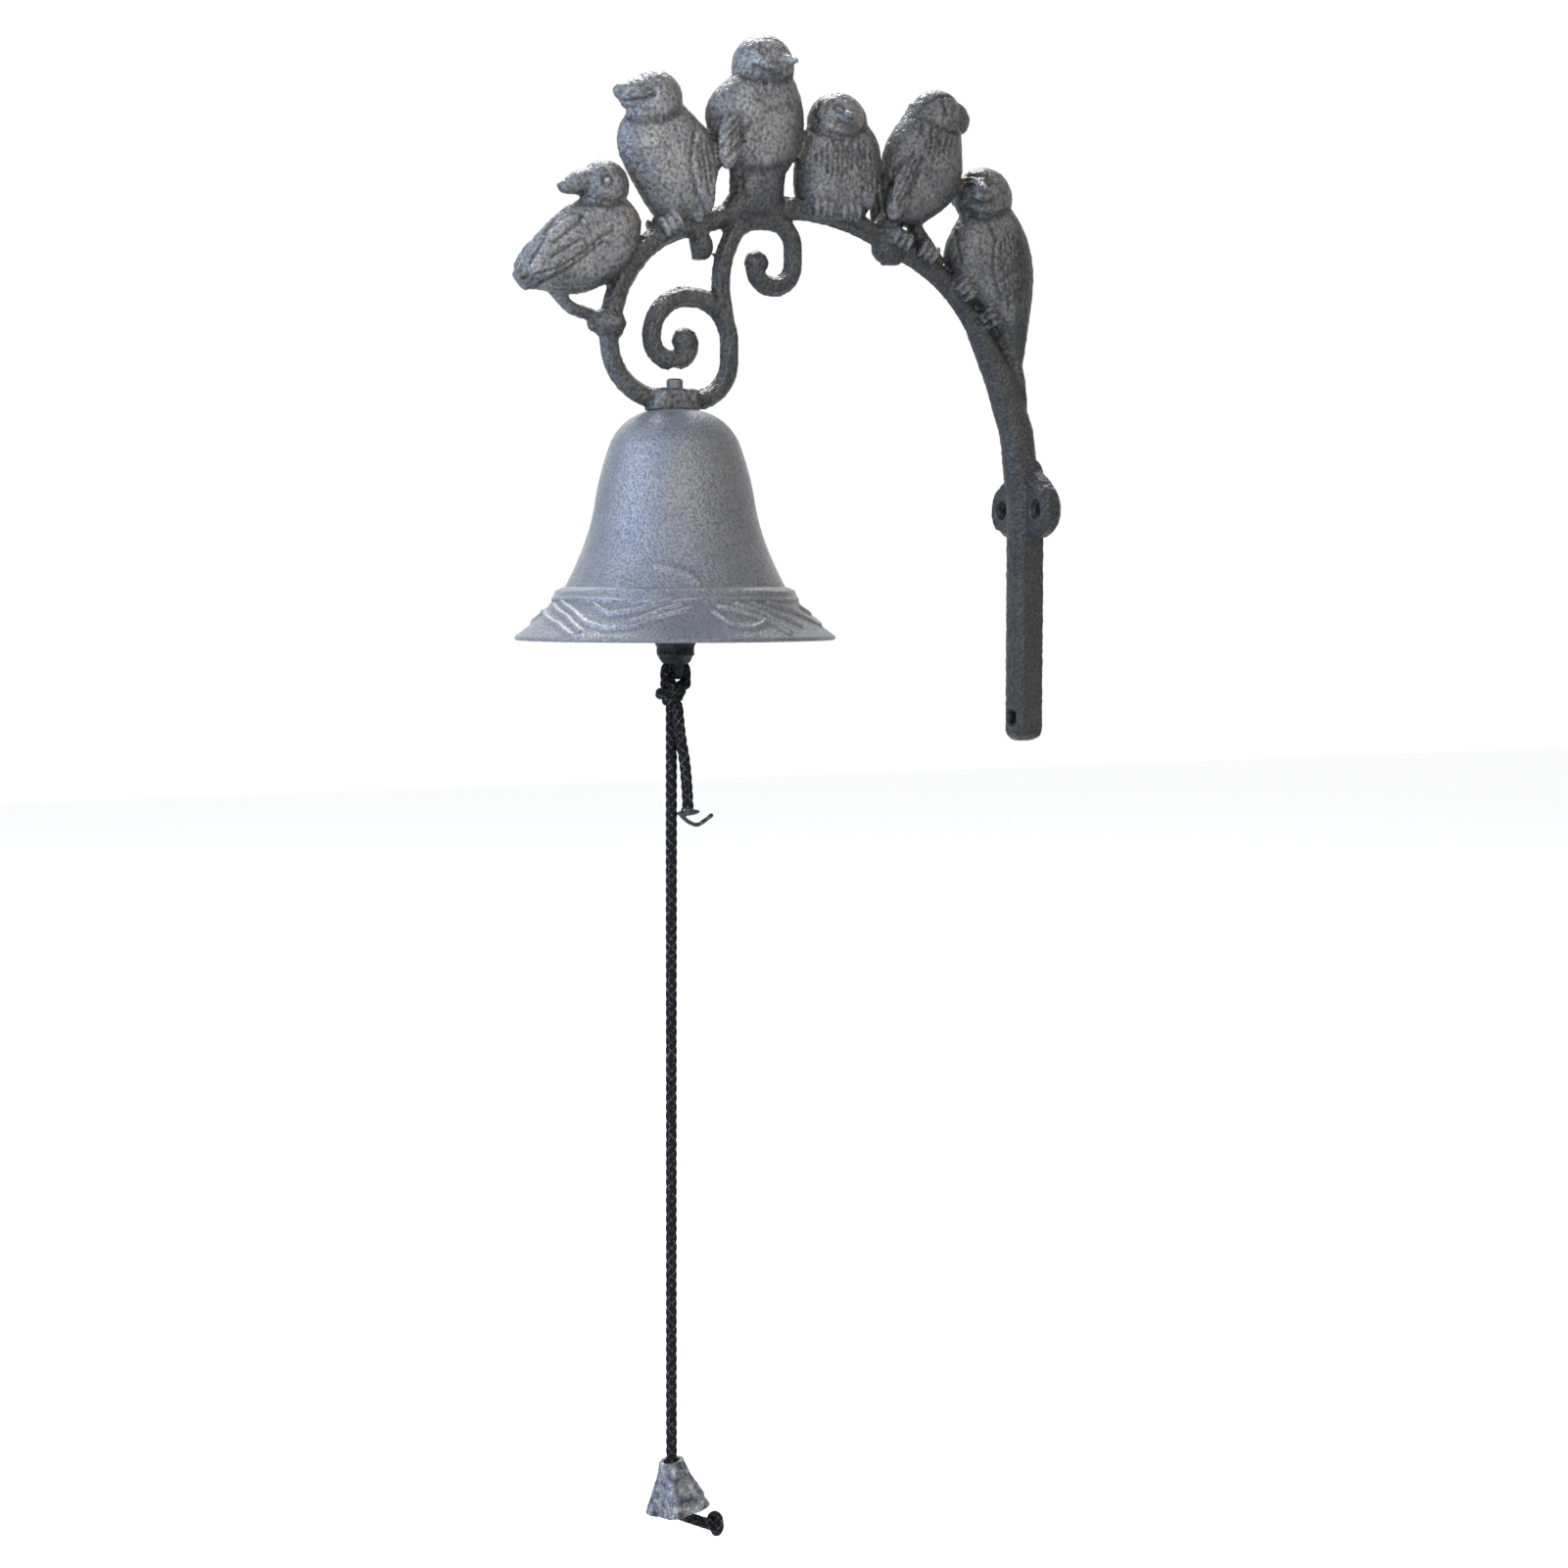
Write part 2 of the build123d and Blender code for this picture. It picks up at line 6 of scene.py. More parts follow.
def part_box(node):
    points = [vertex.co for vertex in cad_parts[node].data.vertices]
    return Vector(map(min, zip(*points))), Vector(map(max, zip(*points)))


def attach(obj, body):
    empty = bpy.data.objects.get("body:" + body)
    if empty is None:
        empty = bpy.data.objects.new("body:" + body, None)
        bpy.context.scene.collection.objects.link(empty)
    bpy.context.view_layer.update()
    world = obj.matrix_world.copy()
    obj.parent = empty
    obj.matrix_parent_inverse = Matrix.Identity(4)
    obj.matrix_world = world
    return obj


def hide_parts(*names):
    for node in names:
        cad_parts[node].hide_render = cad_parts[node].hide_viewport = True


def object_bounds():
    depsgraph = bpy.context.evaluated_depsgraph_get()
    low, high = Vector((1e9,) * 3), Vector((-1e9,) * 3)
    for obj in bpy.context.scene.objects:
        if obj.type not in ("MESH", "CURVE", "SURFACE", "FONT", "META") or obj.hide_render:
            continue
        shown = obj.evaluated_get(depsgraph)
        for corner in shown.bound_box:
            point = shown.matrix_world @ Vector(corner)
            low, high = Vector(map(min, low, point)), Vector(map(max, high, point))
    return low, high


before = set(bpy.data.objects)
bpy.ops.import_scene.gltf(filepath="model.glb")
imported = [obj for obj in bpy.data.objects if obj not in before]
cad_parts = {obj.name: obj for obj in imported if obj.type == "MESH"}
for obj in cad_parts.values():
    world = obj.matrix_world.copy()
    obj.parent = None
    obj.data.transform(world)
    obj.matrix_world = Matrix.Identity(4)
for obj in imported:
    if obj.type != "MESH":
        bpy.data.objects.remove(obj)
bpy.ops.object.select_all(action="DESELECT")
cad_low, cad_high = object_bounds()

# Lengths below are in millimetres and are made metres with this
MM = 0.001

bell_low, bell_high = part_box("bell")
bell_axis_x = (bell_low[0] + bell_high[0]) / 2
bell_top_z = bell_high[2]


# Plain helpers

def only(*pieces):
    """Selects these pieces and nothing else, the last one active."""
    bpy.ops.object.select_all(action="DESELECT")
    for piece in pieces:
        piece.select_set(True)
    bpy.context.view_layer.objects.active = pieces[-1]


def finish_modifiers(piece):
    only(piece)
    for modifier in list(piece.modifiers):
        bpy.ops.object.modifier_apply(modifier=modifier.name)


def settle(piece):
    """Puts the piece's place and turn into its mesh."""
    only(piece)
    bpy.ops.object.transform_apply(location=True, rotation=True, scale=True)


def joined(name, pieces):
    only(*pieces)
    bpy.ops.object.join()
    piece = bpy.context.view_layer.objects.active
    piece.name = name
    return piece


def merged_copy(node):
    """A copy of a CAD node's mesh with its loose triangles merged."""
    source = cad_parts[node]
    piece = source.copy()
    piece.data = source.data.copy()
    piece.parent = None
    piece.matrix_world = Matrix.Identity(4)
    bpy.context.collection.objects.link(piece)
    only(piece)
    bpy.ops.object.mode_set(mode="EDIT")
    bpy.ops.mesh.select_all(action="SELECT")
    bpy.ops.mesh.remove_doubles(threshold=1e-6)
    bpy.ops.object.mode_set(mode="OBJECT")
    return piece


def remeshed(piece, voxel, smoothing):
    """Melts the piece into one skin and softens it."""
    only(piece)
    piece.data.remesh_voxel_size = voxel * MM
    piece.data.remesh_voxel_adaptivity = 0
    bpy.ops.object.voxel_remesh()
    soft = piece.modifiers.new("soft", "SMOOTH")
    soft.factor = 0.5
    soft.iterations = smoothing
    finish_modifiers(piece)


def place(piece, material, body, slot, *stands_for):
    """Finishes a piece: its material, the body that carries it and the nodes that it stands for."""
    piece.data.materials.clear()
    piece.data.materials.append(material)
    if stands_for:
        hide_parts(*stands_for)
    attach(piece, body)
    return piece


def lump(x, y, z, long, thick, wide, heading):
    """A flattened ball, for a wing, a bill or a toe. Its heading is in degrees from +X to +Z."""
    place_at = (x * MM, y * MM, z * MM)
    bpy.ops.mesh.primitive_uv_sphere_add(segments=24, ring_count=12, radius=1.0, location=place_at)
    piece = bpy.context.view_layer.objects.active
    piece.scale = (long * MM, thick * MM, wide * MM)
    piece.rotation_euler = (0, -math.radians(heading), 0)
    settle(piece)
    return piece


def bow(start, middle, end, steps):
    """Points along a shallow curve through three points, without its start."""
    points = []
    for step in range(1, steps + 1):
        t = step / steps
        near_start = (1 - t) * (1 - 2 * t)
        near_middle = 4 * t * (1 - t)
        near_end = t * (2 * t - 1)
        across, along = [near_start * first + near_middle * second + near_end * third
                         for first, second, third in zip(start, middle, end)]
        points.append((across, along))
    return points


# Materials

def surface(material):
    """The material's shader node."""
    return material.node_tree.nodes["Principled BSDF"]


def set_numbers(material, numbers):
    """Sets the shader's values that are the same all over the piece."""
    for name, number in numbers.items():
        surface(material).inputs[name].default_value = number


def shader(name, color, metallic, roughness):
    """A plain material."""
    material = bpy.data.materials.new(name)
    material.use_nodes = True
    set_numbers(material, {"Base Color": (*color, 1.0), "Metallic": metallic, "Roughness": roughness})
    return material


def grey(share):
    return (share, share, share)


def noise(tree, coordinates, size, detail):
    """Noise whose lumps are about that many millimetres across."""
    node = tree.nodes.new("ShaderNodeTexNoise")
    node.inputs["Scale"].default_value = 1 / (size * MM)
    node.inputs["Detail"].default_value = detail
    tree.links.new(coordinates.outputs["Object"], node.inputs["Vector"])
    return node.outputs["Fac"]


def graded(tree, value, rows):
    """Colours over a value, from (position, colour) rows."""
    node = tree.nodes.new("ShaderNodeValToRGB")
    ramp = node.color_ramp
    for step, (position, color) in enumerate(rows):
        stop = ramp.elements[step] if step < 2 else ramp.elements.new(position)
        stop.position = position
        stop.color = (*color, 1)
    tree.links.new(value, node.inputs["Fac"])
    return node.outputs["Color"]


def multiplied(tree, first, second):
    """One colour times another."""
    node = tree.nodes.new("ShaderNodeMix")
    node.data_type = "RGBA"
    node.blend_type = "MULTIPLY"
    node.inputs[0].default_value = 1
    tree.links.new(first, node.inputs[6])
    tree.links.new(second, node.inputs[7])
    return node.outputs[2]


def stretched(tree, value, low, high, to_low, to_high):
    """A value brought from one range to another, and held at its ends."""
    node = tree.nodes.new("ShaderNodeMapRange")
    for name, number in (("From Min", low), ("From Max", high), ("To Min", to_low), ("To Max", to_high)):
        node.inputs[name].default_value = number
    tree.links.new(value, node.inputs["Value"])
    return node.outputs["Result"]


def calculated(tree, operation, first, second=None, third=None):
    """A Math node, whose second and third values are numbers or sockets."""
    node = tree.nodes.new("ShaderNodeMath")
    node.operation = operation
    tree.links.new(first, node.inputs[0])
    for step, value in ((1, second), (2, third)):
        if isinstance(value, (int, float)):
            node.inputs[step].default_value = value
        elif value is not None:
            tree.links.new(value, node.inputs[step])
    return node.outputs[0]


def bumped(tree, height, strength, distance):
    node = tree.nodes.new("ShaderNodeBump")
    node.inputs["Strength"].default_value = strength
    node.inputs["Distance"].default_value = distance * MM
    tree.links.new(height, node.inputs["Height"])
    return node.outputs["Normal"]


def cast_finish(name, tones, metallic, roughness, patch_size, grain_size, grain_depth, pits, tint=None):
    """Painted cast iron: close tones in patches, a pebbly grain with dark pits and an uneven gloss.
    Pits is how much of the colour the deepest pits lose. Tint changes the colour for one piece."""
    material = shader(name, tones[0], metallic, roughness)
    tree = material.node_tree
    coordinates = tree.nodes.new("ShaderNodeTexCoord")
    patches = noise(tree, coordinates, patch_size, 6)
    positions = [0.36 + 0.3 * step / (len(tones) - 1) for step in range(len(tones))]
    color = graded(tree, patches, list(zip(positions, tones)))
    grain = noise(tree, coordinates, grain_size, 3)
    color = multiplied(tree, color, graded(tree, grain, [(0.34, grey(1 - pits)), (0.58, grey(1))]))
    if tint:
        color = tint(tree, color)
    gloss = stretched(tree, grain, 0.3, 0.7, roughness + 0.15, roughness - 0.12)
    tree.links.new(color, surface(material).inputs["Base Color"])
    tree.links.new(gloss, surface(material).inputs["Roughness"])
    tree.links.new(bumped(tree, grain, 0.8, grain_depth), surface(material).inputs["Normal"])
    return material


def marked_tone(tree, mark, plain_share, full_share):
    """A grey share that goes from one to the other where the piece's mesh holds that mark."""
    node = tree.nodes.new("ShaderNodeAttribute")
    node.attribute_name = mark
    return graded(tree, node.outputs["Fac"], [(0, grey(plain_share)), (0.85, grey(full_share))])


# Middle of the branch's arch, in (x, z)
arch_middle = (-100, 25)


def bracket_wear_and_shade(tree, color):
    """The birds' faces are rubbed lighter than the branch. Painted light makes the birds above the branch
    lighter, and painted shade makes the wall side darkest and darkens the parts towards the wall, the grooves
    and the soft hollows.
    """
    coordinates = tree.nodes.new("ShaderNodeTexCoord")
    apart = tree.nodes.new("ShaderNodeSeparateXYZ")
    tree.links.new(coordinates.outputs["Object"], apart.inputs["Vector"])
    depth = calculated(tree, "ABSOLUTE", apart.outputs["Y"])
    on_a_face = stretched(tree, depth, 4.6 * MM, 7.6 * MM, 0, 1)
    from_arch = tree.nodes.new("ShaderNodeVectorMath")
    from_arch.operation = "DISTANCE"
    from_arch.inputs[1].default_value = (arch_middle[0] * MM, 0, arch_middle[1] * MM)
    tree.links.new(coordinates.outputs["Object"], from_arch.inputs[0])
    # Painted light: the birds above the branch are painted lighter.
    painted_light_above_branch = stretched(tree, from_arch.outputs["Value"], 88 * MM, 96 * MM, 0, 0.45)
    # Painted shade: the wall side of the casting stays dark.
    unshaded_off_wall = stretched(tree, apart.outputs["X"], -16 * MM, -11.5 * MM, 1, 0)
    # Wear on the raised faces together with the painted light above the branch, held dark on the wall side as
    # painted shade.
    wear_and_painted_light = calculated(tree, "MAXIMUM", on_a_face, painted_light_above_branch)
    wear_and_painted_light = calculated(tree, "MULTIPLY", wear_and_painted_light, unshaded_off_wall)
    # Painted shade: the casting is painted darker from left to right, towards the wall.
    painted_shade_towards_wall = stretched(tree, apart.outputs["X"], -150 * MM, -40 * MM, 0, 1)
    color = multiplied(tree, color, graded(tree, wear_and_painted_light, [(0, grey(0.26)), (1, grey(1))]))
    color = multiplied(tree, color, graded(tree, painted_shade_towards_wall, [(0, grey(1)), (1, grey(0.5))]))
    # Painted shade in the feather grooves, eye rings and down strokes.
    color = multiplied(tree, color, marked_tone(tree, "groove_shade", 1.0, 0.42))
    # Painted shade in the soft hollows round the necks and under the bills.
    return multiplied(tree, color, marked_tone(tree, "soft_hollow_shade", 1.0, 0.5))


def bell_tint(tree, color):
    """The raised leaves and the moulding are worn lighter."""
    return multiplied(tree, color, marked_tone(tree, "worn", 0.68, 0.92))


# Strands each way round the cord, and the millimetres along it from one strand to the next
strand_count = 4
strand_pitch = 3.3


def cord_braid():
    """Black braid with grey flecks, laid by the cord's own map: turns round it and millimetres along it."""
    material = shader("cord_braid", (0.02, 0.02, 0.022), metallic=0.0, roughness=0.8)
    set_numbers(material, {"Specular IOR Level": 0.15})
    tree = material.node_tree
    laid = tree.nodes.new("ShaderNodeUVMap")
    laid.uv_map = "braid_map"
    apart = tree.nodes.new("ShaderNodeSeparateXYZ")
    tree.links.new(laid.outputs["UV"], apart.inputs["Vector"])
    around = calculated(tree, "MULTIPLY", apart.outputs["X"], math.tau * strand_count)
    strands = []
    for way in (1, -1):
        wound = calculated(tree, "MULTIPLY_ADD", apart.outputs["Y"], way * math.tau / strand_pitch, around)
        strands.append(calculated(tree, "SINE", wound))
    over = calculated(tree, "MAXIMUM", strands[0], strands[1])
    coordinates = tree.nodes.new("ShaderNodeTexCoord")
    lit = calculated(tree, "MULTIPLY", over, noise(tree, coordinates, 0.9, 2))
    color = graded(tree, lit, [(0.44, (0.004, 0.004, 0.0045)), (0.6, (0.085, 0.08, 0.08))])
    tree.links.new(color, surface(material).inputs["Base Color"])
    tree.links.new(bumped(tree, over, 0.5, 0.3), surface(material).inputs["Normal"])
    return material


# Worn grey paint, a little bluer in some patches; its tint adds painted light and shade
bracket_paint = cast_finish(
    "bracket_paint", [(0.2, 0.197, 0.205), (0.31, 0.3, 0.286)], metallic=0.15, roughness=0.38, patch_size=9,
    grain_size=1.3, grain_depth=0.9, pits=0.66, tint=bracket_wear_and_shade)
set_numbers(bracket_paint, {"Specular IOR Level": 0.4, "Sheen Weight": 0.08, "Sheen Roughness": 0.3})
bell_paint = cast_finish(
    "bell_paint", [(0.215, 0.22, 0.24), (0.26, 0.258, 0.262)], metallic=0.35, roughness=0.45, patch_size=16,
    grain_size=0.9, grain_depth=0.5, pits=0.42, tint=bell_tint)
set_numbers(bell_paint, {"Sheen Weight": 0.25, "Sheen Roughness": 0.35})

# Dull black paint, and dark paint rubbed down to grey metal in small patches
clapper_paint = cast_finish(
    "clapper_paint", [(0.006, 0.006, 0.007), (0.03, 0.028, 0.026)], metallic=0, roughness=0.55, patch_size=5,
    grain_size=1.0, grain_depth=0.3, pits=0.4)
set_numbers(clapper_paint, {"Specular IOR Level": 0.2})
weight_tones = [(0.03, 0.03, 0.04), (0.13, 0.135, 0.165), (0.18, 0.165, 0.15), (0.31, 0.31, 0.32)]
weight_paint = cast_finish(
    "weight_paint", weight_tones, metallic=0.3, roughness=0.46, patch_size=2.6, grain_size=0.9,
    grain_depth=0.5, pits=0.5)

dull_wire = shader("dull_wire", (0.13, 0.13, 0.135), metallic=0.7, roughness=0.5)
melted_nylon = shader("melted_nylon", (0.012, 0.012, 0.013), metallic=0.0, roughness=0.35)
braid = cord_braid()


# Bracket: the casting with wings, bills, toes and eyes melted into it, then grooved for the feathers

# Lumps on both faces: middle (x, z), depth from the middle plane, half length, half thickness,
# half width and heading
wings = [
    (-188.5, 85.5, 6.3, 17.0, 2.9, 6.6, 38),
    (-138.6, 113.0, 5.6, 15.5, 2.9, 5.2, 98),
    (-126.8, 126.0, 5.8, 12.5, 2.9, 5.0, 78),
    (-75.0, 116.0, 5.8, 12.5, 2.9, 3.8, 98),
    (-59.6, 112.5, 6.0, 13.5, 2.9, 4.8, 66),
    (-16.6, 84.0, 6.2, 19.0, 2.9, 6.4, 97),
]
bills_on_face = [
    (-114.6, 149.8, 7.6, 4.9, 3.6, 2.5, -10),
    (-83.6, 133.6, 7.4, 4.4, 3.4, 2.6, -6),
    (-28.2, 110.8, 7.8, 3.9, 2.8, 2.2, -4),
]

# Lumps across the middle plane: middle (x, z), half length, half thickness, half width and heading
bills_and_tails = [
    (-178.0, 107.4, 9.0, 4.6, 4.4, 15),
    (-182.4, 105.6, 6.2, 2.8, 2.7, 14),
    (-158.6, 137.4, 8.0, 6.4, 5.9, 8),
    (-164.0, 138.1, 4.4, 3.4, 3.1, 2),
    (-35.4, 139.0, 6.2, 5.4, 4.9, -60),
    (-39.6, 142.6, 6.0, 5.4, 4.4, -48),
    (-135.9, 88.8, 5.4, 4.2, 3.9, -72),
    (-63.0, 89.8, 6.4, 4.4, 4.0, -20),
    (-63.0, 100.0, 6.6, 5.0, 4.4, 62),
    (-9.4, 47.0, 16.0, 4.6, 3.0, 102),
]

# Each foot: (x, z) on the branch and the heading of its three toes
feet = [
    (-149.5, 94.6, 118), (-91.6, 103.6, 88), (-80.8, 102.8, 86),
    (-60.0, 94.4, 66), (-49.2, 90.6, 60), (-33.4, 78.2, 42), (-23.4, 68.6, 36)]
toe_gap = 2.7

# Grooves seen on the birds, each a line of (x, z); the paint in them is darkened as painted shade
feather_lines = [
    [(-202.4, 73.7), (-190.6, 77.5), (-183.3, 82.5), (-176.0, 88.7), (-172.3, 90.3)],
    [(-197.1, 72.0), (-189.1, 76.1), (-181.8, 81.6), (-176.0, 86.7)],
    [(-202.0, 77.7), (-197.0, 85.9), (-191.2, 93.5), (-185.4, 98.8)],
    [(-194.7, 80.3), (-184.0, 86.9)],
    [(-193.7, 85.3), (-185.4, 91.8), (-182.5, 95.3)],
    [(-168.8, 135.6), (-164.4, 134.2), (-158.8, 135.3), (-156.4, 137.3)],
    [(-142.0, 124.9), (-143.5, 115.3), (-140.9, 104.7), (-137.1, 98.8)],
    [(-139.4, 121.0), (-137.9, 111.6), (-136.4, 105.0)],
    [(-136.4, 119.6), (-134.9, 112.6)],
    [(-129.8, 130.7), (-127.6, 132.9)],
    [(-128.3, 128.2), (-124.9, 131.8)],
    [(-130.3, 126.5), (-128.3, 127.9)],
    [(-127.4, 126.1), (-123.8, 129.6)],
    [(-124.8, 125.2), (-120.9, 129.9)],
    [(-127.9, 123.4), (-125.3, 126.0)],
    [(-125.4, 122.3), (-122.3, 125.4)],
    [(-126.5, 119.9), (-123.3, 123.0)],
    [(-132.3, 130.1), (-130.6, 131.4)],
    [(-121.9, 111.8), (-122.2, 107.4), (-120.0, 104.9)],
    [(-91.7, 139.2), (-93.5, 135.5), (-93.0, 132.0)],
    [(-77.3, 123.8), (-75.9, 119.4), (-76.5, 114.4), (-74.9, 110.5)],
    [(-74.4, 122.2), (-72.6, 119.2)],
    [(-74.1, 118.2), (-72.0, 115.2)],
    [(-74.9, 113.6), (-72.8, 111.1)],
    [(-100.9, 122.1), (-99.2, 119.5)],
    [(-102.1, 118.5), (-100.6, 115.9)],
    [(-84.5, 126.0), (-84.2, 122.9)],
    [(-81.4, 126.6), (-80.9, 123.5)],
    [(-78.8, 126.4), (-78.2, 123.3)],
    [(-55.4, 137.8), (-51.7, 136.6), (-47.2, 134.6), (-42.7, 133.2), (-38.2, 132.5)],
    [(-44.3, 145.2), (-43.7, 138.5)],
    [(-53.9, 138.4), (-50.2, 142.8), (-44.3, 145.5), (-39.0, 145.3)],
    [(-56.1, 124.1), (-62.4, 119.1)],
    [(-52.8, 122.3), (-57.4, 116.5)],
    [(-54.0, 118.4), (-58.1, 112.4)],
    [(-56.4, 113.1), (-61.6, 107.2)],
    [(-60.2, 122.1), (-63.5, 118.0)],
    [(-52.4, 135.6), (-53.3, 131.4)],
    [(-48.9, 134.2), (-49.7, 129.5)],
    [(-45.7, 132.7), (-46.4, 128.1)],
    [(-42.6, 131.6), (-43.3, 127.4)],
    [(-64.2, 114.2), (-65.7, 109.0)],
    [(-36.5, 117.6), (-31.3, 119.0), (-26.0, 118.6)],
    [(-25.5, 101.3), (-23.0, 96.9), (-23.9, 91.0), (-24.1, 85.2), (-22.1, 79.4), (-20.0, 74.7)],
    [(-18.0, 90.8), (-20.6, 86.0)],
    [(-14.7, 88.9), (-17.3, 83.6)],
    [(-12.0, 91.7), (-13.9, 87.0)],
    [(-20.4, 81.5), (-15.6, 85.3)],
    [(-19.4, 77.5), (-14.1, 81.9)],
    [(-13.4, 76.9), (-10.4, 82.6)],
    [(-18.0, 76.1), (-17.1, 71.7)],
    [(-15.6, 79.1), (-12.5, 74.6)],
    [(-35.8, 100.7), (-36.6, 94.2), (-35.7, 87.1)],
]

# Wide soft hollows: the necks, under the bills and along the last bird's tail, with painted shade in them
soft_lines = [
    [(-185.7, 99.8), (-178.1, 99.6), (-171.5, 99.2), (-166.3, 101.1)],
    [(-167.7, 130.6), (-160.3, 128.0), (-152.1, 128.8), (-146.5, 132.2)],
    [(-121.9, 146.2), (-118.9, 144.9), (-113.9, 144.6), (-109.9, 144.3), (-105.4, 145.9)],
    [(-94.8, 130.1), (-91.7, 128.9), (-85.5, 127.6), (-79.3, 128.5), (-76.1, 131.1)],
    [(-33.5, 107.2), (-29.0, 103.8), (-22.1, 104.0), (-17.5, 106.8)],
    [(-122.4, 113.1), (-117.5, 114.9), (-112.0, 115.1), (-107.9, 116.7)],
    [(-119.0, 148.6), (-115.6, 146.8), (-109.6, 146.4)],
    [(-87.4, 132.2), (-83.8, 130.6), (-79.6, 131.4)],
    [(-32.4, 109.4), (-28.2, 107.8), (-24.4, 109.4)],
    [(-28.5, 73.0), (-19.0, 60.0), (-13.6, 52.0)],
]

# Downy feathers: middle (x, z), half width, half height and the heading of the strokes
downy = [(-138.0, 114.0, 3.4, 9.0, 98), (-127.0, 124.0, 4.0, 7.0, 52), (-87.0, 119.0, 8.4, 6.6, 88),
         (-75.4, 115.0, 3.2, 8.0, 96), (-60.0, 114.0, 5.0, 10.0, 62), (-48.0, 126.0, 5.0, 4.4, 80),
         (-16.0, 86.0, 4.8, 12.0, 96)]

# Each eye: (x, z) and the radius of its ring
eyes = [(-173.4, 107.0, 1.8), (-157.6, 137.0, 1.5), (-115.9, 154.8, 1.4), (-86.6, 137.5, 1.5),
        (-32.7, 116.1, 1.2), (-25.6, 116.3, 1.2)]

# Depths of the toes' and the eyes' middles from the middle plane
toe_depth = 5.2
eye_depth = 6.2


def eye_ring(x, z, radius):
    steps = 14
    return [(x + radius * math.cos(math.tau * step / steps), z + radius * math.sin(math.tau * step / steps))
            for step in range(steps + 1)]


def down_strokes(x, z, half_width, half_height, heading):
    """Rows of short staggered strokes that fill an oval."""
    along = Vector((math.cos(math.radians(heading)), math.sin(math.radians(heading))))
    across = Vector((-along.y, along.x))
    row_gap = 1.9
    stroke_gap = 3.6
    stroke_length = 2.2
    strokes = []
    for row in range(-5, 6):
        for spot in range(-5, 6):
            aside = row * row_gap
            onward = spot * stroke_gap + (row % 2) * stroke_gap / 2
            if (onward / half_height) ** 2 + (aside / half_width) ** 2 <= 1:
                start = Vector((x, z)) + along * onward + across * aside
                strokes.append([tuple(start), tuple(start + along * stroke_length)])
    return strokes


def line_piece(name, places_of_lines):
    """Loose edges along lines of places in metres."""
    verts = []
    edges = []
    for line in places_of_lines:
        for step, point in enumerate(line):
            if step:
                edges.append((len(verts) - 1, len(verts)))
            verts.append(point)
    mesh = bpy.data.meshes.new(name)
    mesh.from_pydata(verts, edges, [])
    guide = bpy.data.objects.new(name, mesh)
    bpy.context.collection.objects.link(guide)
    return guide


def groove_guide(name, lines, side, target):
    """The grooves' lines laid on one face of the casting, from well outside it."""
    outside_y = side * 30
    guide = line_piece(name, [[(x * MM, outside_y * MM, z * MM) for x, z in line] for line in lines])
    only(guide)
    bpy.ops.object.mode_set(mode="EDIT")
    bpy.ops.mesh.select_all(action="SELECT")
    bpy.ops.mesh.subdivide(number_cuts=7)
    bpy.ops.object.mode_set(mode="OBJECT")
    laid = guide.modifiers.new("laid", "SHRINKWRAP")
    laid.wrap_method = "PROJECT"
    laid.use_project_y = True
    laid.use_negative_direction = side > 0
    laid.use_positive_direction = side < 0
    laid.target = target
    finish_modifiers(guide)
    return guide


def press_in(piece, guide, half_width, depth, mark=None):
    """Moves the surface along its normals where it is near the guide: in for a groove, out for a raised line.
    A mark keeps how near each place is, for the paint."""
    group = piece.vertex_groups.new(name="near")
    group.add(range(len(piece.data.vertices)), 1.0, "REPLACE")
    near = piece.modifiers.new("near", "VERTEX_WEIGHT_PROXIMITY")
    near.vertex_group = "near"
    near.target = guide
    near.proximity_mode = "GEOMETRY"
    near.proximity_geometry = {"EDGE"}
    near.min_dist = half_width * MM
    near.max_dist = 0.0
    near.falloff_type = "SMOOTH"
    press = piece.modifiers.new("press", "DISPLACE")
    press.vertex_group = "near"
    press.mid_level = 0.0
    press.strength = -depth * MM
    finish_modifiers(piece)
    if mark:
        marked = piece.data.attributes.get(mark) or piece.data.attributes.new(mark, "FLOAT", "POINT")
        for vert, spot in zip(piece.data.vertices, marked.data):
            for entry in vert.groups:
                spot.value = max(spot.value, entry.weight)
    piece.vertex_groups.remove(piece.vertex_groups["near"])
    bpy.data.objects.remove(guide)


def roughen(piece, size, height):
    """Grain of the sand mould in the mesh itself."""
    texture = bpy.data.textures.new("sand", "CLOUDS")
    texture.noise_scale = size * MM
    texture.noise_depth = 1
    grain = piece.modifiers.new("grain", "DISPLACE")
    grain.texture = texture
    grain.texture_coords = "LOCAL"
    grain.strength = height * MM
    finish_modifiers(piece)


def ear_lines():
    """The raised edge that sweeps from the arm round each ear, and the ring round its screw hole."""
    front_x = -8.0
    hole_y = 11.5
    ring_radius = 3.6
    lines = []
    for side in (-1, 1):
        edge = [(front_x, side * 4.5, 13.5), (front_x, side * 8.0, 10.0)]
        for turn in range(80, -61, -20):
            angle = math.radians(turn)
            edge.append((front_x, side * (11.2 + 6.0 * math.cos(angle)), 7.4 * math.sin(angle)))
        ring = []
        for turn in range(0, 361, 20):
            angle = math.radians(turn)
            out_y = hole_y + ring_radius * math.cos(angle)
            ring.append((front_x, side * out_y, ring_radius * math.sin(angle)))
        lines += [edge, ring]
    return [[(x * MM, y * MM, z * MM) for x, y, z in line] for line in lines]


